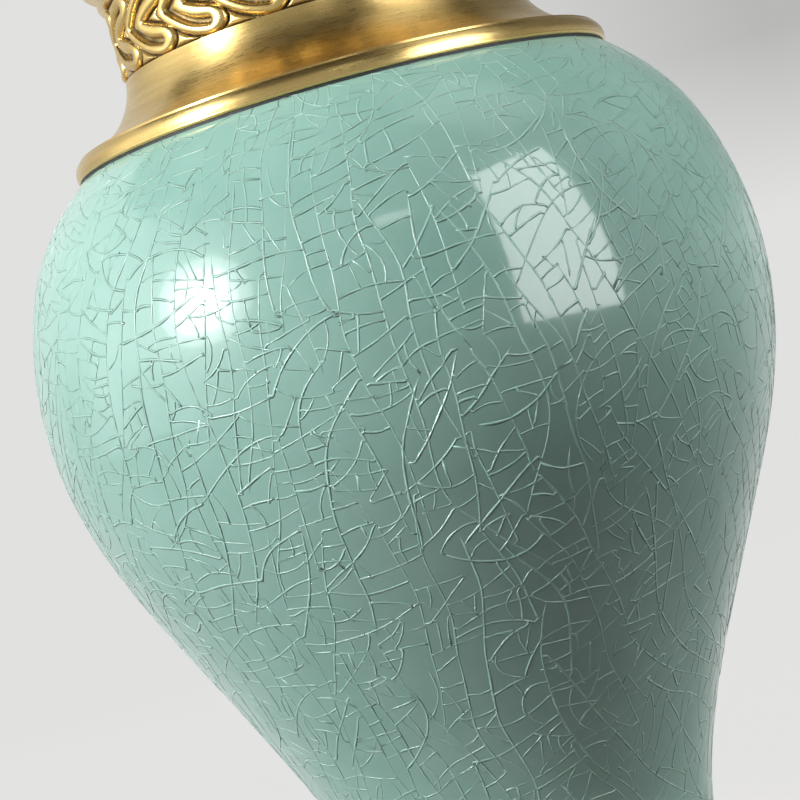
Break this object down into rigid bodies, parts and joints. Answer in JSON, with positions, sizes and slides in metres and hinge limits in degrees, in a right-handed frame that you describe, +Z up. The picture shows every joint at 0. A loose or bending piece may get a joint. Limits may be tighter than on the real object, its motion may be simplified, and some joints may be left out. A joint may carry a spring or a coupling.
{
  "type": "ginger jar",
  "caption": "Tall lidded ginger jar in crackle-glazed stoneware, with a brass collar, relief neck band, brass foot and a domed lid that lifts off by its knob.",
  "frame": {"origin": "centre of the base, on the surface that the jar stands on", "axes": "+Z up along the jar's axis of revolution; -Y is the front"},
  "size_m": [0.28, 0.28, 0.5133],
  "materials": {
    "celadon_glaze": "glossy sea-green glaze with raised crackle",
    "spun_brass": "antique brass, fine turning lines",
    "cast_brass": "cast antique brass, dark patina in the recesses",
    "liner_brass": "plain satin brass",
    "black_gasket": "matt black",
    "seal_rubber": "matt dark rubber",
    "cement": "matt off-white cement",
    "felt": "dark green felt",
    "steel": "zinc-plated steel"
  },
  "bodies": {
    "jar": {"jar_body": "celadon_glaze", "shoulder_gasket": "black_gasket", "collar_skirt": "spun_brass", "relief_band": "cast_brass", "mouth_rim": "spun_brass", "neck_liner": "liner_brass", "neck_bedding": "cement", "foot_ring": "spun_brass", "foot_bedding": "cement", "foot_felt": "felt"},
    "lid": {"lid_dome": "celadon_glaze", "lid_rim": "spun_brass", "lid_flange": "liner_brass", "lid_seal": "seal_rubber", "finial_base": "spun_brass", "finial_knob": "spun_brass", "finial_stud": "steel", "cushion_washer": "seal_rubber", "stud_washer": "steel", "stud_nut": "steel"}
  },
  "joints": [
    {"name": "lid_lift", "type": "slide", "parent": "jar", "child": "lid", "axis": [0, 0, 1], "range_m": [0, 0.12]}
  ]
}
